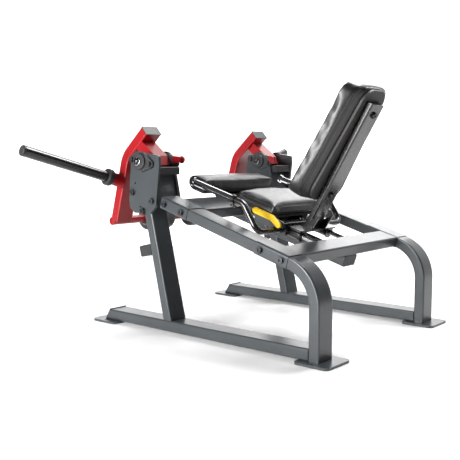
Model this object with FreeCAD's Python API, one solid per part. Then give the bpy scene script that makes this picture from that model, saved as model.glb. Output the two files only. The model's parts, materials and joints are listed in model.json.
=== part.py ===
"""Plate-loaded seated leg extension machine.

Millimetres.  +X points from the user's feet to the backrest, +Y to the user's right, +Z up.
The model is laid out from the front face of the rear legs and is moved at the end, so that the
origin is on the floor at the centre of the base.
"""
import FreeCAD, Part
import math
import os

from FreeCAD import Vector

# ---------------------------------------------------------------- driving dimensions
# frame
frame_half_width = 500.0        # outer faces of the side frames
tube_wide = 100.0               # main tube, lateral side
tube_high = 50.0                # main tube, other side
tube_wall = 3.0
tube_round = 8.0
runner_length = 1150.0          # floor runner, ahead of the rear leg
runner_slant = 31.0             # its front end reaches this much further at the floor
foot_thick = 10.0
foot_length = 160.0
foot_overhang = 37.0            # foot plate beyond the tube, each side
foot_front_reach = 94.0         # front foot plate ahead of the runner
foot_rear_reach = 62.0          # rear foot plate behind the rear leg
foot_corner = 22.0
foot_hole = 12.0
slope = 16.7                    # side rails, degrees
rail_length = 724.0
bend_radius = 200.0             # outer radius of the rear bend
bend_height = 218.0             # height of the bend's centre
post_lean = 13.5                # degrees forward
post_foot_x = -790.0            # front face of the post where it meets the runner
post_length = 640.0

# upright heads
plate_thick = 12.0
head_inner = 374.0              # |y| of the inner plate's outer face
pivot_x = -905.0
pivot_z = 776.0
shaft_radius = 15.0
bearing_tail = 62.0             # pivot to the rear bolt of a flange bearing
bearing_nose = 52.0             # pivot to its front bolt
fit = 0.05                      # radial running fit

# lever arm
arm_inner = 361.0               # |y| of the arm's inner face
arm_wide = 98.0
arm_high = 50.0
arm_lean = 15.3                 # lower leg, degrees from upright
arm_top_lean = 48.0             # upper leg
arm_bend_x = -1078.0
arm_bend_z = 797.0
arm_lower = 320.0               # bend to the lower end
arm_upper = 178.0               # bend to the upper end
arm_bend_radius = 120.0
cross_radius = 20.0
cross_x = -1176.0
cross_z = 486.0
roller_radius = 60.0
roller_length = 160.0
roller_gap = 150.0              # between the two rollers
horn_radius = 25.0
horn_length = 430.0             # clear length for plates
horn_tilt = 15.8                # degrees up
horn_sweep = 7.2                # degrees forward
horn_height = 682.0

# sliding seat
rod_radius = 12.5
rod_spacing = 224.0
housing_radius = 24.0
housing_length = 200.0
carriage_s = 205.0              # rear end of the carriage, up the slope
carriage_n = -4.0               # underside of the carriage plate
carriage_thick = 8.0
board_n = 20.0                  # underside of the seat board
seat_rear_s = 323.0
seat_width = 412.0
seat_length = 225.0
seat_bow = 38.0
seat_thick = 60.0
board_thick = 12.0
back_lean = 30.5                # degrees from upright
back_s = 217.0                  # foot of the back support's rear face
back_n = 26.4
back_pad_low = 100.0            # lower edge of the pad, up the support
back_corner = 62.0
back_pad_length = 558.0
back_foam = 75.0
back_shell = 15.0               # depth of the sloping shell behind the seam
back_seam_in = 22.0
back_width_top = 330.0
back_width_bottom = 410.0
back_draw_in = 72.0             # how far its sides slope in towards the back
support_wide = 105.0
support_deep = 30.0
support_length = 600.0
thigh_pad_width = 520.0
thigh_pad_length = 122.0
thigh_pad_thick = 74.0
thigh_pad_s = 695.0
thigh_pad_n = 10.0
handle_spread = 335.0           # |y| of the grips
handle_s = 461.0                # rear end of the grips
handle_root_s = 290.0
handle_root_n = -20.0
grip_radius = 15.0
grip_length = 236.0
grip_height = 74.0              # above the rails' top faces

# fixed pieces between the side frames
sleeve_thick = 3.0
sleeve_length = 166.0
beam_end_s = 6.0                # lower end of the centre beam, up the slope
beam_top_s = 720.0
rear_cross_s = 100.0            # the rear cross member ends here, up the slope
front_cross_s = 545.0           # the front cross member starts here
front_cross_wide = 150.0
index_thick = 8.0
index_pitch = 30.0
index_count = 6
index_first = -2                # holes behind the rest position
pin_radius = 6.0
pin_s = 305.0                   # seat pin at rest
lever_y = 209.0                 # release lever, to the user's left
lever_s = 275.0
lever_n = 10.0
lever_reach = 140.0
shaft_small = 5.0

# fasteners
bolt_head = 13.0
bolt_high = 8.0
washer_radius = 16.0
washer_high = 2.5

# ---------------------------------------------------------------- derived places
rail_inner = frame_half_width - tube_wide
runner_top = foot_thick + tube_high
theta = math.radians(slope)
bend_x = tube_high - bend_radius
tangent = Vector(bend_x + bend_radius * math.sin(theta), 0,
                 bend_height + bend_radius * math.cos(theta))
seat_front_s = seat_rear_s + seat_length
pin_top_n = lever_n + 9.6
rod_n = -tube_high / 2
rod_rear_s = rear_cross_s
rod_front_s = front_cross_s
front_foot_x = -runner_length - foot_front_reach
rear_foot_x = tube_high + foot_rear_reach
centre_x = (front_foot_x + rear_foot_x) / 2
SIDES = (("left", -1), ("right", 1))
X_AXIS, Y_AXIS, Z_AXIS = Vector(1, 0, 0), Vector(0, 1, 0), Vector(0, 0, 1)
ORIGIN = Vector(0, 0, 0)


# ---------------------------------------------------------------- helpers
def save(name, shape):
    """Write one node, with the machine's origin at the centre of its base."""
    placed = shape.copy()
    placed.translate(Vector(-centre_x, 0, 0))
    placed.exportStep("parts/" + name + ".step")


def box(x0, x1, y0, y1, z0, z1):
    low = Vector(min(x0, x1), min(y0, y1), min(z0, z1))
    return Part.makeBox(abs(x1 - x0), abs(y1 - y0), abs(z1 - z0), low)


def cylinder(radius, start, end):
    axis = end - start
    return Part.makeCylinder(radius, axis.Length, start, axis)


def cone(radius_1, radius_2, start, end):
    axis = end - start
    return Part.makeCone(radius_1, radius_2, axis.Length, start, axis)


def edges_along(shape, axis):
    """Straight edges parallel to an axis."""
    found = []
    for edge in shape.Edges:
        if isinstance(edge.Curve, Part.Line):
            if abs(edge.tangentAt(edge.FirstParameter).dot(axis)) > 0.999:
                found.append(edge)
    return found


def rounded_bar(x0, x1, y0, y1, z0, z1, radius, axis):
    """Box whose edges along one axis are rounded."""
    bar = box(x0, x1, y0, y1, z0, z1)
    return bar.makeFillet(radius, edges_along(bar, axis))


def square_tube(x0, x1, y0, y1, z0, z1, axis):
    """Rectangular tube along X, Y or Z."""
    outer = rounded_bar(x0, x1, y0, y1, z0, z1, tube_round, axis)
    w = Vector(tube_wall, tube_wall, tube_wall) - axis * tube_wall
    inner = rounded_bar(x0 + w.x, x1 - w.x, y0 + w.y, y1 - w.y, z0 + w.z, z1 - w.z,
                        tube_round - tube_wall, axis)
    return outer.cut(inner)


def mirrored(shape, side):
    """Shapes are drawn for y > 0; side -1 gives the other one."""
    if side > 0:
        return shape.copy()
    return shape.mirror(ORIGIN, Y_AXIS)


def turned(shape, angle, at):
    """Turn about a lateral axis, then move the local origin to a point."""
    moved = shape.copy()
    moved.rotate(ORIGIN, Y_AXIS, angle)
    moved.translate(at)
    return moved


def on_rail(shape):
    """Local x runs down the slope, local z stands on the rails' top faces."""
    return turned(shape, slope, tangent)


def rail_point(s, n, y=0.0):
    """Point a distance s up the slope and n above the rails' top faces."""
    return Vector(tangent.x - s * math.cos(theta) + n * math.sin(theta), y,
                  tangent.z + s * math.sin(theta) + n * math.cos(theta))


def profile(points, y0, y1):
    """Side outline of (x, z) points, extruded from y0 to y1."""
    corners = [Vector(x, min(y0, y1), z) for x, z in points]
    face = Part.Face(Part.makePolygon(corners + [corners[0]]))
    return face.extrude(Vector(0, abs(y1 - y0), 0))


def rounded_profile(points, y0, y1, radius):
    solid = profile(points, y0, y1)
    return solid.makeFillet(radius, edges_along(solid, Y_AXIS))


def hex_prism(across, high, centre, direction):
    """Hexagon nut or head standing on a point."""
    radius = across / math.sqrt(3)
    corners = []
    for i in range(7):
        a = math.radians(60 * i)
        corners.append(Vector(radius * math.cos(a), radius * math.sin(a), 0))
    solid = Part.Face(Part.makePolygon(corners)).extrude(Vector(0, 0, high))
    solid.Placement = FreeCAD.Placement(centre, FreeCAD.Rotation(Z_AXIS, direction))
    return solid


def bolt(point, direction):
    """Washer and socket head standing on a face."""
    d = Vector(direction)
    washer = cylinder(washer_radius, point, point + d * washer_high)
    top = point + d * (washer_high + bolt_high)
    head = cylinder(bolt_head, point + d * washer_high, top)
    socket = hex_prism(10.0, 5.0, top - d * 5.0, d)
    return washer.fuse(head).cut(socket)


def round_path(points, radii):
    """Straight runs joined by tangent arcs."""
    edges = []
    start = points[0]
    for i in range(1, len(points) - 1):
        a = (points[i - 1] - points[i]).normalize()
        b = (points[i + 1] - points[i]).normalize()
        half = a.getAngle(b) / 2
        reach = radii[i - 1] / math.tan(half)
        p = points[i] + a * reach
        q = points[i] + b * reach
        mid_way = (a + b).normalize()
        mid = points[i] + mid_way * (radii[i - 1] / math.sin(half) - radii[i - 1])
        edges.append(Part.LineSegment(start, p).toShape())
        edges.append(Part.Arc(p, mid, q).toShape())
        start = q
    edges.append(Part.LineSegment(start, points[-1]).toShape())
    return Part.Wire(edges)


def round_tube(points, radii, radius):
    """Round bar along straight runs and tangent arcs."""
    path = round_path(points, radii)
    direction = (points[1] - points[0]).normalize()
    ring = Part.Wire(Part.makeCircle(radius, points[0], direction))
    return path.makePipeShell([ring], True, False)


# ---------------------------------------------------------------- base and side frames
def runner(side):
    tip = -runner_length - runner_slant
    bar = square_tube(tip, 0, rail_inner, frame_half_width, foot_thick, runner_top, X_AXIS)
    slant = profile([(tip, foot_thick), (-runner_length, runner_top), (tip, runner_top)],
                    rail_inner, frame_half_width)
    return mirrored(bar.cut(slant), side)


def runner_cap(side):
    """Slanted plastic plug on the front end of the runner."""
    tip = -runner_length - runner_slant
    plate = profile([(tip, foot_thick), (tip - 5, foot_thick),
                     (-runner_length - 3, runner_top + 3), (-runner_length + 2, runner_top + 3),
                     (-runner_length, runner_top)],
                    rail_inner, frame_half_width)
    return mirrored(plate, side)


def foot_plate(x0, side):
    plate = rounded_bar(x0, x0 + foot_length, rail_inner - foot_overhang,
                        frame_half_width + foot_overhang, 0, foot_thick, foot_corner, Z_AXIS)
    for y in foot_hole_ys():
        drill = cylinder(foot_hole / 2, Vector(x0 + foot_length / 2, y, -1),
                         Vector(x0 + foot_length / 2, y, foot_thick + 1))
        plate = plate.cut(drill)
    return mirrored(plate, side)


def foot_hole_ys():
    return (rail_inner - foot_overhang / 2, frame_half_width + foot_overhang / 2)


def ring_face(z):
    """Section of a main tube, seen along Z, with its rear outer face at x = tube_high."""
    outer = rounded_bar(0, tube_high, rail_inner, frame_half_width, z, z + 1, tube_round, Z_AXIS)
    inner = rounded_bar(tube_wall, tube_high - tube_wall, rail_inner + tube_wall,
                        frame_half_width - tube_wall, z, z + 1, tube_round - tube_wall, Z_AXIS)
    ring = outer.cut(inner)
    for face in ring.Faces:
        if abs(face.CenterOfMass.z - z) < 0.01:
            return face


def rear_leg(side):
    leg = ring_face(foot_thick).extrude(Vector(0, 0, bend_height - foot_thick))
    bend = ring_face(bend_height).revolve(Vector(bend_x, 0, bend_height), -Y_AXIS, 90 - slope)
    return mirrored(leg.fuse(bend).removeSplitter(), side)


def rail(side):
    bar = square_tube(-rail_length, 0, rail_inner, frame_half_width, -tube_high, 0, X_AXIS)
    return mirrored(on_rail(bar), side)


def sleeve(s0, s1, side):
    """Thin wrap around the rail where a cross member is bolted through."""
    t = sleeve_thick
    outer = rounded_bar(-s1, -s0, rail_inner - t, frame_half_width + t, -tube_high - t, t,
                        tube_round + t, X_AXIS)
    inner = rounded_bar(-s1, -s0, rail_inner, frame_half_width, -tube_high, 0, tube_round, X_AXIS)
    return mirrored(on_rail(outer.cut(inner)), side)


def rail_bolts(side):
    """Bolt heads on the outer faces of the sleeves."""
    bolts = []
    for s in (30.0, 140.0, 594.0, 702.0):
        point = rail_point(s, -tube_high / 2, frame_half_width + sleeve_thick)
        bolts.append(mirrored(bolt(point, Y_AXIS), side))
    return Part.makeCompound(bolts)


def front_post(side):
    """Leaning tube between the runner and the upright head."""
    bar = square_tube(0, tube_high, rail_inner, frame_half_width, -40, post_length, Z_AXIS)
    leaned = turned(bar, -post_lean, Vector(post_foot_x, 0, runner_top))
    ground = box(-2000, 500, -600, 600, -200, runner_top)
    return mirrored(leaned.cut(ground), side)


def post_point(x, z, y=0.0):
    """Point in the post's own frame: x behind its front face, z along it."""
    a = math.radians(post_lean)
    return Vector(post_foot_x + x * math.cos(a) - z * math.sin(a), y,
                  runner_top + x * math.sin(a) + z * math.cos(a))


def post_cap(side):
    lid = rounded_bar(0, tube_high, rail_inner, frame_half_width, post_length,
                      post_length + 3, tube_round, Z_AXIS)
    return mirrored(turned(lid, -post_lean, Vector(post_foot_x, 0, runner_top)), side)


def post_bumper(side):
    """Rubber block on the front face of the post."""
    block = rounded_bar(-72, 0, frame_half_width - 56, frame_half_width - 2, 300, 352, 9, Y_AXIS)
    return mirrored(turned(block, -post_lean, Vector(post_foot_x, 0, runner_top)), side)


def cross_member(s0, s1):
    bar = square_tube(-s1, -s0, -rail_inner + sleeve_thick, rail_inner - sleeve_thick,
                      -tube_high, 0, Y_AXIS)
    return on_rail(bar)


def centre_beam():
    bar = square_tube(-beam_top_s, -beam_end_s, -tube_wide / 2, tube_wide / 2,
                      -2 * tube_high, -tube_high, X_AXIS)
    return on_rail(bar)


def beam_caps():
    caps = []
    for x0, x1 in ((-beam_end_s, -beam_end_s + 4), (-beam_top_s - 4, -beam_top_s)):
        cap = rounded_bar(x0, x1, -tube_wide / 2, tube_wide / 2, -2 * tube_high, -tube_high,
                          tube_round, X_AXIS)
        caps.append(on_rail(cap))
    return Part.makeCompound(caps)


def index_bar():
    """Flat bar of stops for the seat, on top of the centre beam."""
    bar = box(-rod_front_s, -rod_rear_s, -20, 20, -tube_high, -tube_high + index_thick)
    for i in range(index_count):
        x = -(pin_s + (index_first + i) * index_pitch)
        hole = cylinder(pin_radius + 1.0, Vector(x, 0, -tube_high - 1),
                        Vector(x, 0, -tube_high + index_thick + 1))
        bar = bar.cut(hole)
    return on_rail(bar)


def guide_rod(side):
    rod = cylinder(rod_radius, rail_point(rod_rear_s, rod_n, rod_spacing / 2),
                   rail_point(rod_front_s, rod_n, rod_spacing / 2))
    return mirrored(rod, side)


def rod_flanges(s, direction):
    """Round collars that hold the rods against a cross member."""
    rings = []
    for name, side in SIDES:
        y = side * rod_spacing / 2
        ring = cylinder(21, rail_point(s, rod_n, y), rail_point(s + direction * 10, rod_n, y))
        bore = cylinder(rod_radius, rail_point(s - 20, rod_n, y), rail_point(s + 20, rod_n, y))
        rings.append(ring.cut(bore))
    return Part.makeCompound(rings)


# ---------------------------------------------------------------- upright heads
OUTER_PLATE = [(-955, 540), (-986, 562), (-991, 600), (-983, 713), (-971, 806), (-889, 816),
               (-795, 802), (-793, 761), (-815, 575), (-852, 541)]
INNER_PLATE = [(-955, 540), (-990, 562), (-1000, 600), (-1003, 715), (-985, 806), (-905, 816),
               (-848, 804), (-797, 575), (-830, 541)]


def head_plate(points, y0, side):
    plate = rounded_profile(points, y0, y0 + plate_thick, 9)
    plate = plate.cut(cylinder(shaft_radius + 3, Vector(pivot_x, y0 - 1, pivot_z),
                               Vector(pivot_x, y0 + plate_thick + 1, pivot_z)))
    for x, z in ((-948, 677), (-917, 570)):
        plate = plate.cut(cylinder(4, Vector(x, y0 - 1, z), Vector(x, y0 + plate_thick + 1, z)))
    return mirrored(plate, side)


def head_spacers(side):
    """Bushes between the post and the inner plate."""
    bushes = []
    for x, z in head_bolt_points():
        bushes.append(mirrored(cylinder(16, Vector(x, head_inner, z), Vector(x, rail_inner, z)), side))
    return Part.makeCompound(bushes)


def head_bolt_points():
    points = []
    for along in (520.0, 580.0):
        p = post_point(tube_high / 2, along)
        points.append((p.x, p.z))
    return points


def head_bolts(side):
    """Bolt heads on the outer plate."""
    bolts = []
    for x, z in ((-966, 635), (-841, 599), (-900, 552)):
        point = Vector(x, frame_half_width + plate_thick, z)
        bolts.append(mirrored(bolt(point, Y_AXIS), side))
    return Part.makeCompound(bolts)


def head_cover(side):
    """Folded sheet closing the head behind the post."""
    t = 5.0
    sheet = profile([(-812, 600), (-838, 712), (-862, 700), (-864, 695), (-841.5, 705.5),
                     (-817, 600)], head_inner, frame_half_width)
    return mirrored(sheet, side)


def head_stop(side):
    """Rubber stop on top of the cover."""
    block = rounded_profile([(-834, 716), (-834, 752), (-800, 752), (-800, 716)],
                            head_inner, frame_half_width, 6)
    return mirrored(block, side)


def flange_bearing(y, outward, side):
    """Two-bolt flange unit: oval flange, boss and ring around the pivot."""
    tilt = math.radians(10)
    tail = Vector(pivot_x + bearing_tail * math.cos(tilt), y, pivot_z - bearing_tail * math.sin(tilt))
    nose = Vector(pivot_x - bearing_nose * math.cos(tilt), y, pivot_z + bearing_nose * math.sin(tilt))
    step = Y_AXIS * outward
    hub = Vector(pivot_x, y, pivot_z)
    flange = cylinder(47, hub, hub + step * 11)
    for end, radius in ((tail, 20), (nose, 17)):
        flange = flange.fuse(tangent_plate(hub, 47, end, radius, step * 11))
    boss = cone(38, 35, hub + step * 11, hub + step * 20)
    unit = flange.fuse(boss).removeSplitter()
    bore = cylinder(shaft_radius + fit, hub - step, hub + step * 40)
    unit = unit.cut(bore)
    return mirrored(unit, side)


def tangent_plate(c1, r1, c2, r2, step):
    """Plate bounded by two circles and their outer tangents."""
    d = c2 - c1
    length = d.Length
    along = Vector(d).normalize()
    across = Vector(-along.z, 0, along.x)
    ca = (r1 - r2) / length
    sa = math.sqrt(1 - ca * ca)
    corners = []
    for sign in (1, -1):
        n = along * ca + across * (sa * sign)
        corners.append((c1 + n * r1, c2 + n * r2))
    loop = [corners[0][0], corners[0][1], corners[1][1], corners[1][0], corners[0][0]]
    wedge = Part.Face(Part.makePolygon(loop)).extrude(step)
    return wedge.fuse(cylinder(r2, c2, c2 + step))


def bearing_bolts(y, outward, side):
    tilt = math.radians(10)
    step = Y_AXIS * outward
    bolts = []
    for reach in (bearing_tail, -bearing_nose):
        centre = Vector(pivot_x + reach * math.cos(tilt), y + 11 * outward,
                        pivot_z - reach * math.sin(tilt))
        nut = hex_prism(22, 11, centre, step)
        bolts.append(mirrored(nut, side))
    return Part.makeCompound(bolts)


# ---------------------------------------------------------------- lever arms
def arm_point(u, v, upper):
    """Point u along a leg from the bend and v in front of the leg's centre line, as (x, z)."""
    a = math.radians(arm_top_lean if upper else arm_lean)
    sign = 1 if upper else -1
    return (arm_bend_x + sign * u * math.sin(a) - v * math.cos(a),
            arm_bend_z + sign * u * math.cos(a) + v * math.sin(a))


def arm_outline(grow):
    """Side outline of the bent arm; grow is negative for its inside."""
    h = arm_high / 2 + grow
    a = math.radians(arm_lean)
    b = math.radians(arm_top_lean)
    reach = arm_bend_radius * math.tan((b - a) / 2)
    cx = arm_bend_x - reach * math.sin(a) + arm_bend_radius * math.cos(a)
    cz = arm_bend_z - reach * math.cos(a) - arm_bend_radius * math.sin(a)
    edges = []

    def point(radius, angle):
        return Vector(cx - radius * math.cos(angle), 0, cz + radius * math.sin(angle))

    low_front = Vector(*with_y(arm_point(arm_lower, h, False)))
    low_rear = Vector(*with_y(arm_point(arm_lower, -h, False)))
    top_front = Vector(*with_y(arm_point(arm_upper, h, True)))
    top_rear = Vector(*with_y(arm_point(arm_upper, -h, True)))
    out, inn = arm_bend_radius + h, arm_bend_radius - h
    mid = (a + b) / 2
    edges.append(Part.LineSegment(low_front, point(out, a)).toShape())
    edges.append(Part.Arc(point(out, a), point(out, mid), point(out, b)).toShape())
    edges.append(Part.LineSegment(point(out, b), top_front).toShape())
    edges.append(Part.LineSegment(top_front, top_rear).toShape())
    edges.append(Part.LineSegment(top_rear, point(inn, b)).toShape())
    edges.append(Part.Arc(point(inn, b), point(inn, mid), point(inn, a)).toShape())
    edges.append(Part.LineSegment(point(inn, a), low_rear).toShape())
    edges.append(Part.LineSegment(low_rear, low_front).toShape())
    return Part.Face(Part.Wire(edges))


def with_y(pair):
    return (pair[0], 0, pair[1])


def lever_arm(side):
    """Bent rectangular tube, open ended, welded over the cross tube."""
    outer = arm_outline(0).extrude(Vector(0, arm_wide, 0))
    rounded = [e for e in outer.Edges if abs(e.tangentAt(e.FirstParameter).y) < 0.01
               and not on_arm_end(e)]
    outer = outer.makeFillet(tube_round, rounded)
    inner = arm_outline(-tube_wall).extrude(Vector(0, arm_wide - 2 * tube_wall, 0))
    inner.translate(Vector(0, tube_wall, 0))
    arm = outer.cut(inner)
    arm.translate(Vector(0, arm_inner, 0))
    arm = arm.cut(cylinder(cross_radius, Vector(cross_x, 0, cross_z), Vector(cross_x, 900, cross_z)))
    return mirrored(arm, side)


def on_arm_end(edge):
    """True for the edges across the arm's two ends."""
    middle = edge.CenterOfMass
    for upper, length in ((False, arm_lower), (True, arm_upper)):
        x, z = arm_point(length, 0, upper)
        if math.hypot(middle.x - x, middle.z - z) < 1.0:
            return True
    return False


def arm_cap(side):
    """Plastic plug on the arm's top end."""
    corners = [arm_point(arm_upper, arm_high / 2 + 0.5, True),
               arm_point(arm_upper + 4, arm_high / 2 + 0.5, True),
               arm_point(arm_upper + 4, -arm_high / 2 - 0.5, True),
               arm_point(arm_upper, -arm_high / 2 - 0.5, True)]
    plug = profile(corners, arm_inner - 0.5, arm_inner + arm_wide + 0.5)
    return mirrored(plug.makeFillet(1.2, plug.Edges), side)


def brace(side):
    """Box that ties the arm's top to the pivot tube."""
    start = arm_point(arm_upper - 42, -arm_high / 2, True)
    low = arm_point(arm_upper - 92, -arm_high / 2, True)
    outline = [start, (-873, 803), (-851, 760), (-878, 742), low]
    y0 = head_inner + 4
    y1 = arm_inner + arm_wide
    outer = profile(outline, y0, y1)
    outer = outer.fuse(pivot_tube(y0, y1))
    outer = outer.cut(cylinder(shaft_radius, Vector(pivot_x, 0, pivot_z),
                               Vector(pivot_x, 900, pivot_z)))
    return mirrored(outer, side)


def pivot_tube(y0, y1):
    return cylinder(30, Vector(pivot_x, y0, pivot_z), Vector(pivot_x, y1, pivot_z))


def pivot_shaft(side):
    y0 = head_inner - plate_thick - 26
    y1 = frame_half_width + plate_thick + 26
    return mirrored(cylinder(shaft_radius, Vector(pivot_x, y0, pivot_z),
                             Vector(pivot_x, y1, pivot_z)), side)


def pivot_nut(y, outward, side):
    centre = Vector(pivot_x, y, pivot_z)
    step = Y_AXIS * outward
    nut = hex_prism(36, 13, centre, step)
    nut = nut.common(cone(23, 15.5, centre, centre + step * 13).fuse(
        cylinder(20.2, centre, centre + step * 10)))
    nut = nut.cut(cylinder(shaft_radius, centre - step, centre + step * 5.5))
    nut = nut.cut(cylinder(7, centre + step * 5, centre + step * 14))
    return mirrored(nut, side)


def pull_knob(side):
    """Flanged stub of the arm lock, on the rear edge of the inner plate."""
    at = Vector(-813, 0, 784)
    y0 = head_inner - plate_thick
    stub = cylinder(9, at + Y_AXIS * (y0 - 12), at + Y_AXIS * head_inner)
    ring = cylinder(17, at + Y_AXIS * (y0 - 20), at + Y_AXIS * (y0 - 12))
    lug = rounded_profile([(-848, 802), (-842, 768), (-802, 772), (-802, 798)],
                          y0 + 1, head_inner - 1, 5)
    plate = profile(INNER_PLATE, 0, 900)
    return mirrored(stub.fuse(ring).fuse(lug).cut(plate).removeSplitter(), side)


def cross_tube():
    end = arm_inner + arm_wide
    bar = cylinder(cross_radius, Vector(cross_x, -end, cross_z), Vector(cross_x, end, cross_z))
    for name, side in SIDES:
        rim = cylinder(cross_radius - 6, Vector(cross_x, side * end, cross_z),
                       Vector(cross_x, side * (end - 3), cross_z))
        bar = bar.cut(rim)
    return bar


def roller(side):
    """Foam sleeve that turns on the cross tube."""
    y0 = roller_gap / 2
    y1 = y0 + roller_length
    foam = cylinder(roller_radius, Vector(cross_x, y0, cross_z), Vector(cross_x, y1, cross_z))
    foam = foam.makeFillet(10, [e for e in foam.Edges if e.Length > 300 and
                                isinstance(e.Curve, Part.Circle)])
    core = cylinder(cross_radius + 4, Vector(cross_x, y0 - 1, cross_z),
                    Vector(cross_x, y1 + 1, cross_z))
    return mirrored(foam.cut(core), side)


def roller_core(side):
    """Plastic bush inside the foam, with a rim at each end."""
    y0 = roller_gap / 2 - 4
    y1 = y0 + roller_length + 8
    tube = cylinder(cross_radius + 4, Vector(cross_x, y0, cross_z), Vector(cross_x, y1, cross_z))
    for a, b in ((y0, y0 + 4), (y1 - 4, y1)):
        rim = cylinder(cross_radius + 16, Vector(cross_x, a, cross_z), Vector(cross_x, b, cross_z))
        tube = tube.fuse(rim)
    bore = cylinder(cross_radius + fit, Vector(cross_x, y0 - 1, cross_z),
                    Vector(cross_x, y1 + 1, cross_z))
    return mirrored(tube.removeSplitter().cut(bore), side)


def roller_stops():
    """Collars that keep the rollers in place on the cross tube."""
    rings = []
    y0 = roller_gap / 2 - 4
    for a in (y0 - 11, y0 + roller_length + 8 + 1):
        for sign in (1, -1):
            start = Vector(cross_x, sign * a, cross_z)
            stop = Vector(cross_x, sign * (a + 10), cross_z)
            ring = cylinder(cross_radius + 7, start, stop)
            rings.append(ring.cut(cylinder(cross_radius, start, stop)))
    return Part.makeCompound(rings)


def horn_axis():
    tilt = math.radians(horn_tilt)
    sweep = math.radians(horn_sweep)
    return Vector(-math.sin(sweep) * math.cos(tilt), math.cos(sweep) * math.cos(tilt),
                  math.sin(tilt))


def horn_point(d):
    """Point on the weight horn's axis, d beyond the arm's outer face."""
    x, z = arm_point((arm_bend_z - horn_height) / math.cos(math.radians(arm_lean)), 0, False)
    return Vector(x, arm_inner + arm_wide, z) + horn_axis() * d


def horn_socket(side):
    """Tapered tube welded to the outer face of the arm."""
    socket = cone(34, 29, horn_point(-20), horn_point(58))
    keep = box(-1400, -900, arm_inner + arm_wide, 700, 500, 900)
    return mirrored(socket.common(keep), side)


def horn_collar(side):
    """Rubber ring that the plates rest against."""
    ring = cylinder(40, horn_point(58), horn_point(86))
    ring = ring.makeFillet(5, [e for e in ring.Edges if isinstance(e.Curve, Part.Circle)])
    bore = cylinder(horn_radius - 1, horn_point(50), horn_point(90))
    return mirrored(ring.cut(bore), side)


def horn(side):
    tube = cylinder(horn_radius, horn_point(86), horn_point(86 + horn_length))
    spigot = cylinder(horn_radius - 1, horn_point(58), horn_point(86))
    return mirrored(tube.fuse(spigot), side)


def horn_cap(side):
    end = 86 + horn_length
    cap = cylinder(horn_radius - 0.3, horn_point(end), horn_point(end + 12))
    rim = [e for e in cap.Edges if isinstance(e.Curve, Part.Circle)
           and (e.CenterOfMass - horn_point(end + 12)).Length < 1]
    return mirrored(cap.makeFillet(5, rim), side)


# ---------------------------------------------------------------- sliding seat
def bearing_housing(side):
    """Tube with end rings that runs on a guide rod."""
    y = rod_spacing / 2
    s0, s1 = carriage_s, carriage_s + housing_length
    tube = cylinder(housing_radius, rail_point(s0, rod_n, y), rail_point(s1, rod_n, y))
    for a, b in ((s0, s0 + 9), (s1 - 9, s1)):
        ring = cylinder(housing_radius + 4, rail_point(a, rod_n, y), rail_point(b, rod_n, y))
        tube = tube.fuse(ring)
    flat = on_rail(box(-s1 - 1, -s0 + 1, y - 60, y + 60, carriage_n, 60))
    bore = cylinder(rod_radius + fit, rail_point(s0 - 1, rod_n, y), rail_point(s1 + 1, rod_n, y))
    return mirrored(tube.removeSplitter().cut(flat).cut(bore), side)


def carriage_plate():
    """Steel plate on the two bearing housings, under the seat and the back."""
    s0, s1 = carriage_s, carriage_s + housing_length
    plate = rounded_bar(-s1 - 60, -s0 + 10, -rod_spacing / 2 - 34, rod_spacing / 2 + 34,
                        carriage_n, carriage_n + carriage_thick, 12, Z_AXIS)
    hole = cylinder(15, Vector(-pin_s, 0, carriage_n - 1),
                    Vector(-pin_s, 0, carriage_n + carriage_thick + 1))
    return on_rail(plate.cut(hole))


def seat_frame():
    """Two bearers between the carriage plate and the seat board."""
    bars = []
    n0 = carriage_n + carriage_thick
    for sign in (1, -1):
        bars.append(on_rail(rounded_bar(-seat_front_s + 40, -seat_rear_s - 15,
                                        sign * 80 - 20, sign * 80 + 20, n0, board_n, 4, X_AXIS)))
    return Part.makeCompound(bars)


def seat_outline(inset):
    """Plan of the seat: straight sides, bowed front, as a face at z = 0."""
    w = seat_width / 2 - inset
    rear = -seat_rear_s - inset
    front = -seat_rear_s - seat_length + inset
    p = [Vector(rear, -w, 0), Vector(front, -w, 0), Vector(front - seat_bow, 0, 0),
         Vector(front, w, 0), Vector(rear, w, 0)]
    edges = [Part.LineSegment(p[0], p[1]).toShape(), Part.Arc(p[1], p[2], p[3]).toShape(),
             Part.LineSegment(p[3], p[4]).toShape(), Part.LineSegment(p[4], p[0]).toShape()]
    return Part.Face(Part.Wire(edges))


def seat_board():
    board = seat_outline(8).extrude(Vector(0, 0, board_thick))
    board.translate(Vector(0, 0, board_n))
    return on_rail(board)


def seat_pad():
    pad = seat_outline(0).extrude(Vector(0, 0, seat_thick - board_thick))
    pad.translate(Vector(0, 0, board_n + board_thick))
    pad = pad.makeFillet(12, edges_along(pad, Z_AXIS))
    return on_rail(pad)


def on_back(shape):
    """Local z runs up the back support, local x points behind it."""
    return turned(shape, back_lean, rail_point(back_s, back_n))


def back_support():
    """Upright rectangular tube behind the backrest, welded to the carriage."""
    bar = rounded_bar(-support_deep, 0, -support_wide / 2, support_wide / 2, -60,
                      support_length, 9, Z_AXIS)
    hollow = rounded_bar(-support_deep + tube_wall, -tube_wall, -support_wide / 2 + tube_wall,
                         support_wide / 2 - tube_wall, -61, support_length - 3, 6, Z_AXIS)
    bar = on_back(bar.cut(hollow))
    under = on_rail(box(-900, 900, -200, 200, -400, carriage_n + carriage_thick))
    return bar.cut(under)


def back_gussets():
    """Plates that stiffen the foot of the back support."""
    plates = []
    n0 = carriage_n + carriage_thick
    heel = rail_point(carriage_s - 6, n0)
    toe = rail_point(carriage_s + 60, n0)
    top = rail_point(carriage_s - 30, n0 + 70)
    outline = [(heel.x, heel.z), (toe.x, toe.z), (top.x, top.z)]
    for sign in (1, -1):
        y = sign * (support_wide / 2 + 3.5)
        plates.append(profile(outline, y - 3, y + 3))
    return Part.makeCompound(plates)


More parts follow.
